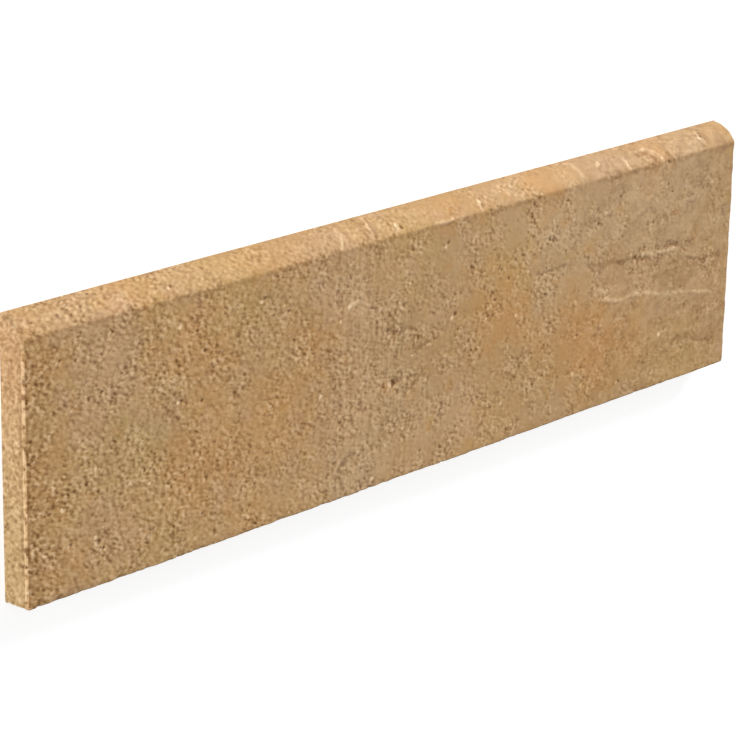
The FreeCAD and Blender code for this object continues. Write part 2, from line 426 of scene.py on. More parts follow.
class Blank:
    """The unworn tile's points and faces, with points at one place made one."""

    def __init__(self):
        self.places = []
        self.inward = []
        self.unrolled = []
        self.edge_gap = []
        self.found = {}
        self.faces = []
        self.zones = []

    def point(self, place, outward, unrolled, edge_gap):
        """The number of the point at a place, which is new if none is there yet."""
        spot = tuple(round(value, SAME_DECIMALS) for value in place)
        if spot not in self.found:
            self.found[spot] = len(self.places)
            self.places.append(Vector(place) * MM)
            self.inward.append(-Vector(outward))
            self.unrolled.append(Vector(unrolled))
            self.edge_gap.append(edge_gap)
        return self.found[spot]

    def face(self, corners, zone):
        """A face, unless its corners have run together."""
        corners = list(dict.fromkeys(corners))
        if len(corners) > 2:
            self.faces.append(corners)
            self.zones.append(zone)

    def grid(self, rows, zone_of):
        """Faces between rows of point numbers."""
        for low, high in zip(rows, rows[1:]):
            for n in range(len(low) - 1):
                corners = (low[n], low[n + 1], high[n + 1], high[n])
                self.face(corners, zone_of(n))


def lay_skin(blank, points, foot_rows):
    """The foot, face and nose, with the arris turned round both ends.

    Wear moves an arris as one, inward from both its faces, so that it never folds.
    """
    reach = HALF_LENGTH - ARRIS
    foot_line = ARRIS - HALF_HEIGHT
    foot_arris = range(foot_rows, foot_rows + ARRIS_PIECES + 1)
    rows = []
    for x, inset, turn in rings():
        side = math.copysign(1, x) if abs(x) > reach - SAME else 0
        row = []
        for n, p in enumerate(points):
            place = (x, p.y - inset * p.out_y, p.z - inset * p.out_z)
            outward = (side, -1, 1) if n in foot_arris else (side, p.out_y, p.out_z)
            unrolled_x = x if turn == 0 else math.copysign(reach, turn) + ARRIS * turn
            gap = min(HALF_LENGTH - abs(x), abs(p.up - foot_line))
            row.append(blank.point(place, outward, (unrolled_x, p.up, 0), gap))
        rows.append(row)
    blank.grid(rows, lambda n: EDGE if n < foot_rows else SKIN)


def lay_end(blank, points, foot_rows, side):
    """One flat end, in columns from the skin down to the back."""
    x = side * HALF_LENGTH
    over = points[foot_rows + ARRIS_PIECES:]
    levels = [points[n].z / points[foot_rows].z for n in range(foot_rows + 1)]
    columns = []
    for p in over:
        y = p.y - ARRIS * p.out_y
        top = p.z - ARRIS * p.out_z
        column = []
        for level in levels:
            z = top * level
            gap = min(top - z, y + HALF_HEIGHT)
            unrolled = (side * (HALF_LENGTH + THICK - z), y, 0)
            column.append(blank.point((x, y, z), (side, 0, 0), unrolled, gap))
        columns.append(column)
    blank.grid(columns, lambda n: EDGE)


def key_outline(bm, middle_y, z, inset):
    """The round-ended outline of one key at a depth, as new vertices."""
    radius = KEY_WIDTH / 2 - inset
    reach = HALF_LENGTH - KEY_RIM - KEY_WIDTH / 2
    corners = []
    for side in (1, -1):
        for n in range(KEY_END_PIECES + 1):
            turn = math.pi * (n / KEY_END_PIECES - 0.5)
            x = side * (reach + radius * math.cos(turn))
            y = middle_y + side * radius * math.sin(turn)
            corners.append(bm.verts.new(Vector((x, y, z)) * MM))
    return corners


def close_back(bm):
    """The flat back, with the keys sunk in it."""
    rim = [edge for edge in bm.edges if edge.is_boundary]
    rows = math.floor((HEIGHT - 2 * KEY_RIM - KEY_WIDTH) / KEY_PITCH) + 1
    for row in range(rows):
        middle_y = (row - (rows - 1) / 2) * KEY_PITCH
        mouth = key_outline(bm, middle_y, 0.0, 0.0)
        floor = key_outline(bm, middle_y, KEY_DEPTH, KEY_DRAFT)
        bm.faces.new(floor)
        for n, corner in enumerate(mouth):
            after = (n + 1) % len(mouth)
            wall = bm.faces.new((corner, mouth[after], floor[after], floor[n]))
            rim.append(bm.edges.get((corner, mouth[after])))
            rim[-1].smooth = False
            wall.smooth = False
    bmesh.ops.triangle_fill(bm, use_beauty=True, use_dissolve=False, edges=rim)


def unworn_tile():
    """The tile before its relief: a closed mesh that carries its own directions."""
    points, foot_rows = section()
    blank = Blank()
    lay_skin(blank, points, foot_rows)
    for side in (-1, 1):
        lay_end(blank, points, foot_rows, side)
    mesh = bpy.data.meshes.new("unworn_tile")
    mesh.from_pydata(blank.places, [], blank.faces)
    for name, values in (("inward", blank.inward), ("unrolled", blank.unrolled)):
        layer = mesh.attributes.new(name, "FLOAT_VECTOR", "POINT")
        layer.data.foreach_set("vector", [part for value in values for part in value])
    mesh.attributes.new("edge_gap", "FLOAT", "POINT").data.foreach_set("value", blank.edge_gap)
    mesh.attributes.new("zone", "INT", "FACE").data.foreach_set("value", blank.zones)
    mesh.shade_smooth()
    bm = bmesh.new()
    bm.from_mesh(mesh)
    for edge in bm.edges:
        if edge.is_boundary:
            edge.smooth = False
    close_back(bm)
    bmesh.ops.recalc_face_normals(bm, faces=bm.faces)
    bm.to_mesh(mesh)
    bm.free()
    return new_object("unworn_tile", mesh)


def mark_object(name, corners, edges):
    """Marks as the points and edges of a helper, in the unrolled skin's millimetres."""
    mesh = bpy.data.meshes.new(name)
    mesh.from_pydata([(x, up, 0) for x, up in corners], edges, [])
    return new_object(name, mesh)


def mark_spots(name, spots):
    """Marks as loose points, each with its radius."""
    marks = mark_object(name, [(x, up) for x, up, _ in spots], [])
    layer = marks.data.attributes.new("mark_radius", "FLOAT", "POINT")
    layer.data.foreach_set("value", [radius for _, _, radius in spots])
    return marks


def mark_lines(name, lines):
    """Marks as lines of two corners or more."""
    corners = []
    edges = []
    for line in lines:
        first = len(corners)
        corners += line
        edges += [(first + n, first + n + 1) for n in range(len(line) - 1)]
    return mark_object(name, corners, edges)


# The relief's sizes, in millimetres: how deep each form goes at most, how wide a crack
# is, how far a ridge stands up, and how much of the surface's wear high spots are spared.
RELIEF_SIZES = {
    "Wave Depth": 0.35,
    "Dimple Depth": 0.13,
    "Grain Depth": 0.20,
    "Brush Depth": 0.10,
    "Pit Depth": 0.45,
    "Chip Depth": 0.12,
    "Crack Depth": 0.17,
    "Crack Width": 1.2,
    "Ridge Rise": 0.12,
    "Arris Wear": 0.5,
    "High Spots": 0.26,
}

# The side of a pit and of a crack that gets a painted highlight, as if it caught the
# light, as the way back to its middle.
PIT_HIGHLIGHT_SHIFT = (1.1, 0.35, 0.0)
CRACK_HIGHLIGHT_SHIFT = (0.0, 1.1, 0.0)

# How far spots and lines stray from where they are drawn, and half a ridge's width.
SPOT_STRAY = 1.8
LINE_STRAY = 3.6
RIDGE_HALF = 0.9

# A chip's depth as a share of a pit's, the most that an arris may lose in millimetres,
# and how much more the skin may lose away from it.
CHIP_TO_PIT = 1.3
ARRIS_LIMIT = 0.5
INNER_LIMIT = 1.0

# How far from an edge its wear reaches, in millimetres, the wear's share in the middle of
# the tile and how much of it each millimetre to the right takes away, and the shares
# that are spared along the foot and left at the back.
WEAR_REACH = 1.4
WEAR_MIDDLE = 0.65
WEAR_FADE = 1 / 400
FOOT_SPARED = 0.4
BACK_WEAR = 0.25


def relief_inputs(graph):
    """The tree's named inputs: the tile, the marks as objects, and the sizes."""
    sockets = graph.tree.interface
    for way in ("INPUT", "OUTPUT"):
        sockets.new_socket("Geometry", in_out=way, socket_type="NodeSocketGeometry")
    for name in ("Pits", "Pale Chips", "Arris Chips", "Cracks", "Ridges"):
        sockets.new_socket(name, in_out="INPUT", socket_type="NodeSocketObject")
    for name, size in RELIEF_SIZES.items():
        socket = sockets.new_socket(name, in_out="INPUT", socket_type="NodeSocketFloat")
        socket.default_value = size
    given = graph.tree.nodes.new("NodeGroupInput")
    return {socket.name: Term(graph, socket) for socket in given.outputs if socket.name}


def stored(graph, name, kind="FLOAT"):
    """What the mesh holds under a name."""
    return graph.node("GeometryNodeInputNamedAttribute", {"data_type": kind}, {"Name": name})


def spot_field(graph, marks, where):
    """1 at the middle of the nearest mark, 0 at its rim and below 0 outside."""
    points = graph.node("GeometryNodeObjectInfo", None, {"Object": marks}, "Geometry")
    near = {"Geometry": points, "Sample Position": where}
    index = graph.node("GeometryNodeSampleNearest", {"domain": "POINT"}, near)

    def of_nearest(kind, value):
        read = {"Geometry": points, "Value": value, "Index": index}
        return graph.node("GeometryNodeSampleIndex", {"data_type": kind, "domain": "POINT"}, read)

    middle = of_nearest("FLOAT_VECTOR", graph.node("GeometryNodeInputPosition"))
    radius = of_nearest("FLOAT", stored(graph, "mark_radius"))
    return 1 - graph.vector("DISTANCE", where, middle, output="Value") / radius


def line_field(graph, marks, where):
    """Distance from the nearest marked line, in millimetres."""
    lines = graph.node("GeometryNodeObjectInfo", None, {"Object": marks}, "Geometry")
    near = {"Target": lines, "Source Position": where}
    return graph.node("GeometryNodeProximity", {"target_element": "EDGES"}, near, "Distance")


def mark_fields(graph, inputs, place):
    """Each kind of mark as a number on the skin, strayed so that none is neat."""
    cloud = {"Vector": place, "W": SEED, "Scale": 0.5, "Detail": 1.0}
    jitter = graph.node("ShaderNodeTexNoise", {"noise_dimensions": "4D"}, cloud, "Color")
    off_centre = graph.vector("SUBTRACT", jitter, (0.5, 0.5, 0.5))
    unrolled = stored(graph, "unrolled", "FLOAT_VECTOR")
    spot_place = graph.vector("ADD", unrolled, graph.vector("SCALE", off_centre, SPOT_STRAY))
    line_place = graph.vector("ADD", unrolled, graph.vector("SCALE", off_centre, LINE_STRAY))
    # The painted highlights on the lit side of pits and cracks are read at shifted places.
    pit_highlight_place = graph.vector("ADD", spot_place, PIT_HIGHLIGHT_SHIFT)
    crack_highlight_place = graph.vector("ADD", line_place, CRACK_HIGHLIGHT_SHIFT)
    return {
        "pit": spot_field(graph, inputs["Pits"], spot_place),
        "pit_lee": spot_field(graph, inputs["Pits"], pit_highlight_place),
        "pale_chip": spot_field(graph, inputs["Pale Chips"], spot_place),
        "arris_chip": spot_field(graph, inputs["Arris Chips"], spot_place),
        "crack": line_field(graph, inputs["Cracks"], line_place),
        "crack_lee": line_field(graph, inputs["Cracks"], crack_highlight_place),
        "ridge": line_field(graph, inputs["Ridges"], spot_place),
    }


def worn_depth(graph, sizes, place, marks, worked):
    """How far each point of the skin is worn in, in millimetres."""
    x, y, z = graph.axes(place)
    edge_gap = stored(graph, "edge_gap")
    brushed = x.eased(*BRUSH_LEFT) * x.eased(*BRUSH_RIGHT)
    smeared = x.eased(*SMEAR_SHAPE)
    wave = graph.noise(place, 26, 3, seed=1) * sizes["Wave Depth"]
    dimple = graph.noise(place, 7, 2, seed=2) * sizes["Dimple Depth"]
    roughed = (0.45 + 0.75 * worked) * (1 - 0.35 * smeared)
    grain = graph.noise(graph.spread(place, 1.3, 1, 1), 1.5, 1, seed=3)
    grain = grain * sizes["Grain Depth"] * roughed
    brush = graph.noise(graph.spread(place, 1.5, 22, 22), 1, 1, seed=4) * brushed
    smear = graph.noise(graph.spread(place, 20, 1.3, 1.3), 1, 1, seed=5) * smeared
    strokes = (brush + smear) * sizes["Brush Depth"]
    broken = graph.noise(place, 3.0, 2, seed=6).eased(0.34, 0.56)
    groove = (marks["crack"] / sizes["Crack Width"]).eased(1, 0.1)
    groove = groove * broken * sizes["Crack Depth"]
    rise = (1 - (marks["ridge"] / RIDGE_HALF).eased(1, 0)) * sizes["Ridge Rise"]
    hollow = marks["pit"].eased(0, 0.9) * sizes["Pit Depth"]
    pale_hollow = marks["pale_chip"].eased(0, 0.9) * sizes["Chip Depth"]
    knock = marks["arris_chip"].eased(0, 1) * sizes["Pit Depth"] * CHIP_TO_PIT
    rub = graph.noise(place, 3.2, 2, seed=8).eased(0.35, 0.75) + 0.1
    wear = edge_gap.eased(WEAR_REACH, 0) * rub * sizes["Arris Wear"]
    wear = wear * (WEAR_MIDDLE - x * WEAR_FADE) * (1 - FOOT_SPARED * y.eased(*FOOT_WORN))
    surface = wave + dimple + grain + strokes + rise - sizes["High Spots"]
    depth = surface.at_least(0) + groove + hollow + pale_hollow + knock + wear
    limit = ARRIS_LIMIT + INNER_LIMIT * edge_gap.eased(0.55, 1.05)
    return depth.at_most(limit) * (BACK_WEAR + (1 - BACK_WEAR) * z.eased(0, 1))


def relief_tree(materials):
    """The rule that wears the tile: waves, grain, strokes, pits, cracks and ridges."""
    tree = bpy.data.node_groups.new("weathered_relief", "GeometryNodeTree")
    graph = Graph(tree)
    inputs = relief_inputs(graph)
    place = graph.vector("SCALE", graph.node("GeometryNodeInputPosition"), 1 / MM)
    marks = mark_fields(graph, inputs, place)
    worked = graph.noise(place, 9, 3, 0.6, seed=9).eased(0.32, 0.66)
    depth = worn_depth(graph, inputs, place, marks, worked)
    inward = graph.vector("SCALE", stored(graph, "inward", "FLOAT_VECTOR"), depth * MM)

    x, _, _ = graph.axes(place)
    end_gap = HALF_LENGTH - graph.math("ABSOLUTE", x)
    shape = inputs["Geometry"]
    kept = {"end_arris": end_gap.eased(3, 1)} | marks | {"worked": worked}
    for name, value in kept.items():
        named = {"Geometry": shape, "Name": name, "Value": value}
        kind = {"data_type": "FLOAT", "domain": "POINT"}
        shape = graph.node("GeometryNodeStoreNamedAttribute", kind, named)
    shape = graph.node("GeometryNodeSetPosition", None, {"Geometry": shape, "Offset": inward})
    shape = graph.node("GeometryNodeRealizeInstances", None, {"Geometry": shape})
    zone = stored(graph, "zone", "INT")
    same = {"data_type": "INT", "operation": "EQUAL"}
    for number, material in materials.items():
        chosen = graph.node("FunctionNodeCompare", same, {"A_INT": zone, "B_INT": number})
        finish = {"Geometry": shape, "Selection": chosen, "Material": material}
        shape = graph.node("GeometryNodeSetMaterial", None, finish)
    result = tree.nodes.new("NodeGroupOutput")
    tree.links.new(shape.socket, result.inputs["Geometry"])
    return tree


def weather(tile, materials):
    """The worn tile as a plain mesh, with what the rule used cleared away."""
    helpers = {
        "Pits": mark_spots("pit_marks", PITS),
        "Pale Chips": mark_spots("pale_marks", PALE_CHIPS),
        "Arris Chips": mark_spots("chip_marks", ARRIS_CHIPS),
        "Cracks": mark_lines("crack_marks", CRACKS),
        "Ridges": mark_lines("ridge_marks", RIDGES),
    }
    tree = relief_tree(materials)
    modifier = tile.modifiers.new("weathering", "NODES")
    modifier.node_group = tree
    for item in tree.interface.items_tree:
        if item.in_out == "INPUT" and item.name in helpers:
            modifier[item.identifier] = helpers[item.name]
    bpy.context.view_layer.update()
    depsgraph = bpy.context.evaluated_depsgraph_get()
    worn = bpy.data.meshes.new_from_object(
        tile.evaluated_get(depsgraph), preserve_all_data_layers=True, depsgraph=depsgraph
    )
    worn.name = "fired_tile"
    piece = new_object("fired_tile", worn)
    for helper in (tile, *helpers.values()):
        bpy.data.objects.remove(helper)
    return piece


# The clay's tones, as they look on screen.
TAN = srgb(185, 147, 99)
ORANGE = srgb(190, 140, 83)
GREY = srgb(187, 150, 110)
OLIVE = srgb(181, 149, 92)
BLOOM = srgb(192, 160, 121)
SCORCH = srgb(174, 137, 90)
PALE = srgb(250, 217, 174)
# Rubbed pale of the arrises, together with their painted highlight.
RUBBED_AND_HIGHLIGHT = srgb(248, 210, 162)
# Dark brown of pores, pits and chips, also the painted shade of the sand's emboss.
PORE_AND_SHADE = srgb(92, 50, 6)
# Brown of cracks and dark lines, also used for painted shade round cracks and along the foot.
RUST_AND_SHADE = srgb(108, 62, 14)
WASH = srgb(214, 202, 184)
BISCUIT = srgb(190, 158, 124)
END_ROSE = srgb(206, 156, 112)
END_OLIVE = srgb(190, 163, 113)

# The tones laid over the tan, in order: the placed patches, the size of the stray ones in
# millimetres, how common those are, their seed, how far the tone goes, and the tone.
Coat = namedtuple("Coat", "spots stray_size stray_share seed strength tone")
COATS = (
    Coat(GREY_PATCHES, 11, 0.09, 22, 1.0, GREY),
    Coat(BLOOM_PATCHES, 9, 0.02, 25, 0.9, BLOOM),
    Coat(OLIVE_PATCHES, 9, 0.05, 23, 0.7, OLIVE),
    Coat(ORANGE_PATCHES, 9, 0.05, 21, 0.68, ORANGE),
    Coat(SCORCH_PATCHES, 7, -0.05, 26, 0.8, SCORCH),
)

# How a pressed side differs: how sandy it is, how much the marks show, how far the clay
# is bleached, how wide its arris is rubbed pale and given a painted highlight in millimetres,
# and how much of the tones it has. What it lacks of the tones it has of the ends' own.
Look = namedtuple("Look", "sandiness marks bleach rub_width toned")
FACE_LOOK = Look(sandiness=1.0, marks=1.0, bleach=0.0, rub_width=0.7, toned=1.0)
EDGE_LOOK = Look(sandiness=0.95, marks=0.8, bleach=0.15, rub_width=0.9, toned=0.2)

# How far patches and smears are bent out of shape, in millimetres.
BEND = 34.0

# How the sand's grains are drawn out, and the step between a grain's painted light side
# and its painted dark side.
GRAIN_DRAW = (1.58, 0.92, 1.1)
EMBOSS_STEP = (0.23, 0.15, 0.17)

# How the place that the sand is read at is leaned, to each millimetre: up and outwards
# along the tile, and down with the height above the back.
LEAN_UP = 0.12
LEAN_OUT = 0.5
LEAN_DOWN = 0.23

# How far the dots of one seed lie from those of the next, in millimetres.
DOT_SHIFT = (13.7, 5.1, 8.9)

# How far each mark, each kind of wear and each painted highlight or shade takes the clay to
# its own tone, from 0 to 1. A ridge on the nose and a crease where the clay is patchy have a
# further share.
# The next two are painted highlights on the lit side of pits and cracks.
PIT_HIGHLIGHT_PALE = 0.55
CRACK_HIGHLIGHT_PALE = 0.3
CHIP_PALE = 0.75
# Ridges are painted pale along their crest as a highlight, more so on part of the nose.
RIDGE_HIGHLIGHT = 0.46
NOSE_RIDGE_HIGHLIGHT = 0.2
CRACK_SHADE = 0.10
CRACK_RUST = 0.44
PIT_DARK = 0.62
CHIP_DARK = 0.55
PORE_DARK = 0.2
GRAIN_PALE = 0.26
# Partly wear and partly a painted highlight on the end arrises.
RUB_AND_HIGHLIGHT_PALE = 0.62
# Darker lines by the edges, with painted shade along the foot.
EDGE_LINE_DARK = 0.2
# A darker band along and just under the crease.
CREASE_DARK = 0.08
PATCHY_CREASE_DARK = 0.24


def new_material(name):
    """An empty material and the graph of its tree."""
    material = bpy.data.materials.new(name)
    material.use_nodes = True
    material.node_tree.nodes.clear()
    return material, Graph(material.node_tree)


def finish_material(graph, colour, roughness, height_mm):
    """The clay's shader: matt, with what is left of the relief as a bump."""
    bump = {"Height": height_mm, "Distance": MM, "Strength": 1.0}
    raised = graph.node("ShaderNodeBump", None, bump)
    sockets = {"Base Color": colour, "Roughness": roughness, "Normal": raised}
    sockets["Specular IOR Level"] = 0.25
    clay = graph.node("ShaderNodeBsdfPrincipled", None, sockets)
    graph.node("ShaderNodeOutputMaterial", None, {"Surface": clay}, None)


def object_place(graph):
    """Where a point of the piece is, in millimetres."""
    coords = graph.node("ShaderNodeTexCoord", None, None, "Object")
    return graph.vector("SCALE", coords, 1 / MM)


def patches(graph, place, spots):
    """The sum of soft-edged patches of one tone."""
    total = 0.0
    for x, y, radius, strength in spots:
        away = graph.vector("DISTANCE", place, (x, y, THICK), output="Value")
        total = total + away.eased(radius, 0) * strength
    return total


def dots(graph, place, spacing, share, radius, seed):
    """Round grains: about one to a cell of the spacing, in a share of the cells."""
    moved = graph.vector("ADD", place, [seed * shift for shift in DOT_SHIFT])
    settings = {"voronoi_dimensions": "3D", "feature": "F1"}
    inputs = {"Vector": moved, "Scale": 1 / spacing}
    away = graph.node("ShaderNodeTexVoronoi", settings, inputs, "Distance") * spacing
    tint = graph.node("ShaderNodeTexVoronoi", settings, inputs, "Color")
    lot = graph.node("ShaderNodeSeparateColor", None, {"Color": tint}, "Red")
    chosen = lot.eased(share, share - 0.05)
    return away.eased(radius, radius * 0.35) * chosen


class Surface:
    """The worn surface as the clay's tree reads it, in millimetres."""

    def __init__(self, graph):
        self.graph = graph
        self.place = object_place(graph)
        self.x, self.y, self.z = graph.axes(self.place)
        self.smeared = self.x.eased(*SMEAR_TONE)
        self.nose = self.y.eased(*NOSE)
        cloud = {"Vector": self.place, "Scale": 0.12, "Detail": 3.0}
        bend = graph.node("ShaderNodeTexNoise", {"noise_dimensions": "3D"}, cloud, "Color")
        bend = graph.vector("SUBTRACT", bend, (0.5, 0.5, 0.5))
        self.bent = graph.vector("ADD", self.place, graph.vector("SCALE", bend, BEND))
        self.ragged = graph.ripple(self.place, 0.8, 1, seed=40) * 0.5

    def kept(self, name):
        """A number that the relief's tree stored on the mesh."""
        wanted = {"attribute_type": "GEOMETRY", "attribute_name": name}
        return self.graph.node("ShaderNodeAttribute", wanted, None, "Fac")


def fired_tones(surface, look):
    """The clay's own colour: tan, mottled with the other tones."""
    graph, place = surface.graph, surface.place
    x, y = surface.x, surface.y
    colour = graph.mix(look.bleach, TAN, PALE)
    for coat in COATS:
        stray = graph.noise(place, coat.stray_size, 4, 0.6, seed=coat.seed)
        stray = stray.eased(0.62 - coat.stray_share, 0.76 - coat.stray_share)
        laid = (patches(graph, surface.bent, coat.spots) + stray * 0.8).at_most(1.0) * look.toned
        colour = graph.mix(laid * coat.strength, colour, coat.tone)
    plain = 1 - look.toned
    colour = graph.mix(0.35 * plain * y.eased(*ROSE_UPPER), colour, END_ROSE)
    colour = graph.mix(0.5 * plain * y.eased(*OLIVE_LOWER), colour, END_OLIVE)
    blotch = 0.14 * graph.ripple(place, 5, 2, seed=20)
    blotch = blotch + 0.28 * graph.ripple(place, 26, 3, seed=24)
    blotch = blotch - 0.035 * x.eased(*DARK_LEFT) - 0.02 * x.eased(*DARK_RIGHT)
    return graph.vector("SCALE", colour, 1 + blotch * look.toned)


def sandiness(surface, look):
    """How strong the sand is, and how rough the clay was left when it was worked."""
    x, nose = surface.x, surface.nose
    quiet = x.eased(*QUIET)
    worked = (0.42 - 0.2 * quiet) + (0.85 + 0.2 * quiet) * surface.kept("worked")
    worked = worked ** (1 + 0.7 * quiet)
    worked = 0.85 + (worked - 0.85) * (0.3 + 0.7 * look.toned)
    near_crack = 1 + 0.75 * surface.kept("crack").eased(5, 1) * surface.smeared
    along = 1.15 - 0.15 * x.eased(*CALM_PAST_LEFT) - 0.17 * quiet - 0.35 * x.eased(*CALM_RIGHT)
    strength = along * worked * near_crack * look.sandiness
    strength = strength * (1 - 0.22 * nose * x.eased(*NOSE_SMOOTH)) * (1 - 0.2 * nose)
    return strength * (1 + 0.3 * look.toned * x.eased(*LEFT_SANDY)), worked


Sand = namedtuple("Sand", "speck pores grains height")


def sand_grain(surface, look):
    """The sand: light and dark specks, with a painted emboss of light and shade among them,
    pores and grains, and the height they make.
    """
    graph, place, bent = surface.graph, surface.place, surface.bent
    x, z, smeared = surface.x, surface.z, surface.smeared
    strength, worked = sandiness(surface, look)
    lean = {"X": 0.0, "Y": LEAN_UP * x - LEAN_DOWN * z, "Z": LEAN_OUT * x}
    leaning = graph.vector("ADD", place, graph.node("ShaderNodeCombineXYZ", None, lean))
    drawn = graph.spread(leaning, *GRAIN_DRAW)
    coarse = graph.ripple(drawn, 1.3, 1, 0.6, seed=30)
    dust = graph.ripple(drawn, 0.6, 1, seed=31)
    toward = graph.vector("ADD", drawn, EMBOSS_STEP)
    away = graph.vector("SUBTRACT", drawn, EMBOSS_STEP)
    # Painted light and shade: the noise less a shifted copy of itself, as if lit from one side.
    painted_emboss = graph.noise(away, 1.15, 0, seed=32) - graph.noise(toward, 1.15, 0, seed=32)
    clump = graph.ripple(place, 2.6, 1, seed=35)
    brushed = x.eased(*BRUSH_LEFT) * x.eased(*BRUSH_RIGHT)
    brush = graph.ripple(graph.spread(place, 1.2, 18, 18), 1, 1, seed=33) * brushed
    smear = graph.ripple(graph.spread(bent, 13, 1.5, 1.5), 1, 2, seed=34)
    band = graph.ripple(graph.spread(bent, 34, 4, 4), 1, 2, seed=36)
    drag = graph.ripple(graph.spread(place, 3.4, 1.15, 1.15), 1, 1, seed=37)
    smear = smear + 0.8 * band + 1.1 * drag * worked
    speck = strength * (1.30 * coarse + 0.15 * dust + 0.85 * painted_emboss + 0.30 * clump)
    speck = speck + 0.50 * brush + (0.45 * smear + 0.5 * clump) * smeared
    pores = dots(graph, place, 2.4, 0.5, 0.72, 1) * strength
    grains = dots(graph, place, 2.6, 0.45, 0.70, 2) * strength
    height = strength * (0.20 * coarse + 0.06 * dust) - 0.12 * pores + 0.06 * grains
    height = height + 0.08 * brush + 0.10 * smear * smeared
    return Sand(speck, pores, grains, height)


def lay_sand(graph, look, sand, colour):
    """The clay's colour with the sand in it, painted light and shade of its emboss included;
    a value below 0 is a dark one.
    """
    colour = graph.mix(sand.speck * (0.85 + 1.2 * look.bleach), colour, PALE)
    colour = graph.mix(sand.speck * (1.6 * look.bleach - 1.35), colour, PORE_AND_SHADE)
    colour = graph.mix(sand.pores * PORE_DARK, colour, PORE_AND_SHADE)
    return graph.mix(sand.grains * GRAIN_PALE, colour, PALE)


Marks = namedtuple("Marks", "pit pit_lee pale_chip arris_chip crack crack_lee ridge patchy")


def placed_marks(surface):
    """Each kind of mark as 1 where it is and 0 elsewhere, with ragged rims."""
    graph, place = surface.graph, surface.place
    kept, ragged = surface.kept, surface.ragged
    broken = graph.noise(place, 2.4, 2, seed=41).eased(0.36, 0.52)
    patchy = graph.noise(place, 2.4, 2, seed=42).eased(0.42, 0.62)
    return Marks(
        pit=(kept("pit") + ragged).eased(0.05, 0.65),
        pit_lee=(kept("pit_lee") + ragged).eased(0.1, 0.75),
        pale_chip=(kept("pale_chip") + ragged).eased(0.0, 0.6),
        arris_chip=(kept("arris_chip") + ragged).eased(0.0, 0.5),
        crack=(kept("crack") - ragged).eased(1.3, 0.1) * broken,
        crack_lee=(kept("crack_lee") - ragged).eased(0.9, 0.1) * patchy,
        ridge=(kept("ridge") - ragged).eased(1.1, 0.1) * (0.35 + 0.65 * patchy),
        patchy=patchy,
    )


def lay_marks(surface, look, marks, colour):
    """The clay's colour with the placed marks in it, each over the one before, among them
    painted highlights on the lit side of pits and cracks and along ridges.
    """
    graph, shown = surface.graph, look.marks
    nose_share = surface.nose * surface.x.eased(*NOSE_RIDGED)
    ridge_highlight = RIDGE_HIGHLIGHT + NOSE_RIDGE_HIGHLIGHT * nose_share
    # Painted highlights on the side of pits and cracks that would face the light.
    colour = graph.mix(marks.pit_lee * PIT_HIGHLIGHT_PALE * shown, colour, PALE)
    colour = graph.mix(marks.crack_lee * CRACK_HIGHLIGHT_PALE * shown, colour, PALE)
    colour = graph.mix(marks.pale_chip * CHIP_PALE * shown, colour, PALE)
    # Raised ridges, painted pale along their crest as a highlight.
    colour = graph.mix(marks.ridge * ridge_highlight * shown, colour, PALE)
    shaded = surface.kept("crack").eased(3.6, 0.4) * CRACK_SHADE * surface.smeared
    colour = graph.mix(shaded, colour, RUST_AND_SHADE)
    colour = graph.mix(marks.crack * CRACK_RUST * shown, colour, RUST_AND_SHADE)
    colour = graph.mix(marks.pit * PIT_DARK * shown, colour, PORE_AND_SHADE)
    return graph.mix(marks.arris_chip * CHIP_DARK * shown, colour, PORE_AND_SHADE)


def wear_edges(surface, look, marks, colour):
    """The clay's colour with the arrises rubbed pale and given a painted highlight, the foot
    given painted shade, and dark lines beside the other edges and under the crease.
    """
    graph, ragged = surface.graph, surface.ragged
    x, y, z = surface.x, surface.y, surface.z
    edge_gap = surface.kept("edge_gap")
    end_arris = surface.kept("end_arris")
    below_nose = 1 - 0.85 * y.eased(*NOSE_FADE)
    rub = graph.noise(surface.place, 1.8, 2, seed=43).eased(0.38, 0.58)
    # The end arrises: rubbed pale, partly wear and partly a painted highlight.
    rubbed_and_highlit = (edge_gap - ragged).eased(look.rub_width, 0.2) * rub * end_arris * below_nose
    colour = graph.mix(rubbed_and_highlit * (1 - 0.9 * marks.arris_chip) * RUB_AND_HIGHLIGHT_PALE, colour, RUBBED_AND_HIGHLIGHT)
    # Darker lines beside the left arris and at the right end, and painted shade along the foot,
    # whose arris faces away from the lamps.
    arris_dark_line = edge_gap.eased(0.35, 0.8) * (edge_gap - ragged).eased(2.6, 0.9)
    dark_lines_and_foot_shade = 1.5 * arris_dark_line * end_arris * x.eased(*LEFT_DARK_LINE) * below_nose
    dark_lines_and_foot_shade = dark_lines_and_foot_shade + y.eased(*FOOT_SHADE_LINE) + x.eased(*RIGHT_DARK_LINE)
    colour = graph.mix(dark_lines_and_foot_shade * EDGE_LINE_DARK * look.marks, colour, RUST_AND_SHADE)
    # A darker band along and just under the crease, patchy along its length.
    crease = y.eased(*CREASE_BELOW) * y.eased(*CREASE_ABOVE) * z.eased(*CREASE_TOP)
    return graph.mix(crease * (CREASE_DARK + PATCHY_CREASE_DARK * marks.patchy), colour, RUST_AND_SHADE)


def pressed_clay(name, look):
    """Face, nose and edges: mottled clay with sand, pores, the placed marks and wear."""
    material, graph = new_material(name)
    surface = Surface(graph)
    sand = sand_grain(surface, look)
    marks = placed_marks(surface)
    colour = fired_tones(surface, look)
    colour = lay_sand(graph, look, sand, colour)
    colour = lay_marks(surface, look, marks, colour)
    colour = wear_edges(surface, look, marks, colour)
    roughness = 0.7 + 0.25 * graph.ripple(surface.place, 4, 2, seed=50) + 0.12 * marks.pit
    height = sand.height + 0.05 * marks.ridge - 0.15 * marks.pit - 0.1 * marks.crack
    finish_material(graph, colour, roughness, height)
    return material


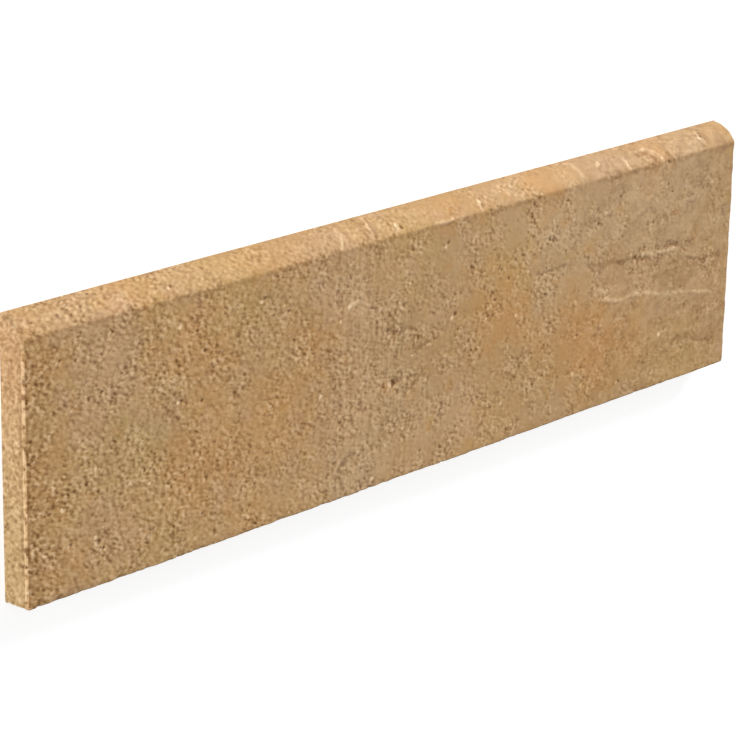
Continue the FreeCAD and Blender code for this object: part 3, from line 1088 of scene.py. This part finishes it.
def keyed_back():
    """The back: plain biscuit, rubbed with pale kiln wash on the ribs between the keys."""
    material, graph = new_material("keyed_back")
    place = object_place(graph)
    _, _, z = graph.axes(place)
    on_rib = z.eased(0.3 * KEY_DEPTH, 0.0)
    wiped = graph.noise(graph.spread(place, 30, 3, 3), 1, 3, seed=60).eased(0.4, 0.68)
    worn = graph.noise(place, 6, 3, seed=61).eased(0.35, 0.6)
    tone = graph.noise(place, 30, 3, seed=62).eased(0.35, 0.65)
    grit = graph.ripple(place, 1.1, 2, 0.65, seed=63)
    pores = dots(graph, place, 2.2, 0.5, 0.4, 3)
    colour = graph.mix(tone * 0.6, BISCUIT, GREY)
    colour = graph.mix(on_rib * wiped * worn * 0.65, colour, WASH)
    colour = graph.mix(pores * 0.5, colour, PORE_AND_SHADE)
    colour = graph.vector("SCALE", colour, 1 + 0.3 * grit)
    height = 0.08 * grit - 0.08 * pores + 0.03 * graph.noise(place, 3.5, 2, seed=64)
    finish_material(graph, colour, 0.85 + 0.1 * grit, height)
    return material


# The camera as it stood for the picture: its place and where it looks, in metres, and
# how far it is rolled from upright.
CAMERA_PLACE = Vector((-0.62892, 0.27416, 0.57219))
CAMERA_AIM = Vector((-0.01181, -0.00684, 0.0))
CAMERA_ROLL = math.radians(107.446)
LENS = 149.56
SENSOR = 36.0


def set_camera():
    """The camera, looking down at the tile along the same line as in the picture."""
    data = bpy.data.cameras.new("camera")
    data.lens = LENS
    data.sensor_width = SENSOR
    camera = new_object("camera", data)
    aim = (CAMERA_AIM - CAMERA_PLACE).to_track_quat("-Z", "Y")
    camera.rotation_mode = "QUATERNION"
    camera.rotation_quaternion = aim @ Quaternion((0, 0, 1), CAMERA_ROLL)
    camera.location = CAMERA_PLACE
    bpy.context.scene.camera = camera


# Light as parts of full light: what falls on a surface that faces the lamp, so that 1
# shows a colour as it is written. Each lamp is given as the way towards it.
SKY_LIGHT = 0.42
TOP_LAMP = Vector((0.50, 0.72, 0.30))
SIDE_LAMP = Vector((-0.84, 0.06, 0.13))
LAMP_SPREAD = math.radians(28)
FLOOR_SIDE = 8.0
FLOOR_SINK = 0.00002
FLOOR_TONE = 0.5
FLOOR_GLOW = 0.70


def add_lamp(name, towards):
    """A large soft lamp, far away; the length of the vector is its strength."""
    data = bpy.data.lights.new(name, "SUN")
    data.energy = math.pi * towards.length
    data.angle = LAMP_SPREAD
    lamp = new_object(name, data)
    lamp.rotation_mode = "QUATERNION"
    lamp.rotation_quaternion = towards.to_track_quat("Z", "Y")


def seen_ray(graph):
    """1 for rays from the camera and for what shows in gloss or through glass."""
    rays = [graph.node("ShaderNodeLightPath", None, None, name)
            for name in ("Is Camera Ray", "Is Glossy Ray", "Is Transmission Ray")]
    return rays[0].at_least(rays[1]).at_least(rays[2])


def set_sky():
    """White where it is seen, and plain soft light on the tile."""
    world = bpy.data.worlds.new("studio")
    bpy.context.scene.world = world
    world.use_nodes = True
    world.node_tree.nodes.clear()
    graph = Graph(world.node_tree)
    strength = SKY_LIGHT + (1 - SKY_LIGHT) * seen_ray(graph)
    light = graph.node("ShaderNodeBackground", None, {"Color": (1, 1, 1, 1), "Strength": strength})
    graph.node("ShaderNodeOutputWorld", None, {"Surface": light}, None)


def lay_floor():
    """A pale floor that reads white and keeps the tile's shadow."""
    half = FLOOR_SIDE / 2
    corners = [(-half, -half, -FLOOR_SINK), (half, -half, -FLOOR_SINK)]
    corners += [(half, half, -FLOOR_SINK), (-half, half, -FLOOR_SINK)]
    mesh = bpy.data.meshes.new("floor")
    mesh.from_pydata(corners, [], [(0, 1, 2, 3)])
    floor = new_object("floor", mesh)
    material, graph = new_material("pale_floor")
    plain = graph.node("ShaderNodeBsdfDiffuse", None, {"Color": (FLOOR_TONE,) * 3 + (1,)})
    glow = graph.node("ShaderNodeEmission", None, {"Strength": FLOOR_GLOW * seen_ray(graph)})
    both = graph.node("ShaderNodeAddShader", None, {0: plain, 1: glow})
    graph.node("ShaderNodeOutputMaterial", None, {"Surface": both}, None)
    mesh.materials.append(material)


def make_tile():
    """The tile itself, in place of the plain solid."""
    materials = {
        BACK: keyed_back(),
        SKIN: pressed_clay("pressed_face", FACE_LOOK),
        EDGE: pressed_clay("pressed_edge", EDGE_LOOK),
    }
    piece = weather(unworn_tile(), materials)
    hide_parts("skirting_tile")
    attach(piece, "root")


bpy.context.scene.view_settings.view_transform = "Standard"
set_sky()
add_lamp("top_lamp", TOP_LAMP)
add_lamp("side_lamp", SIDE_LAMP)
lay_floor()
make_tile()
set_camera()
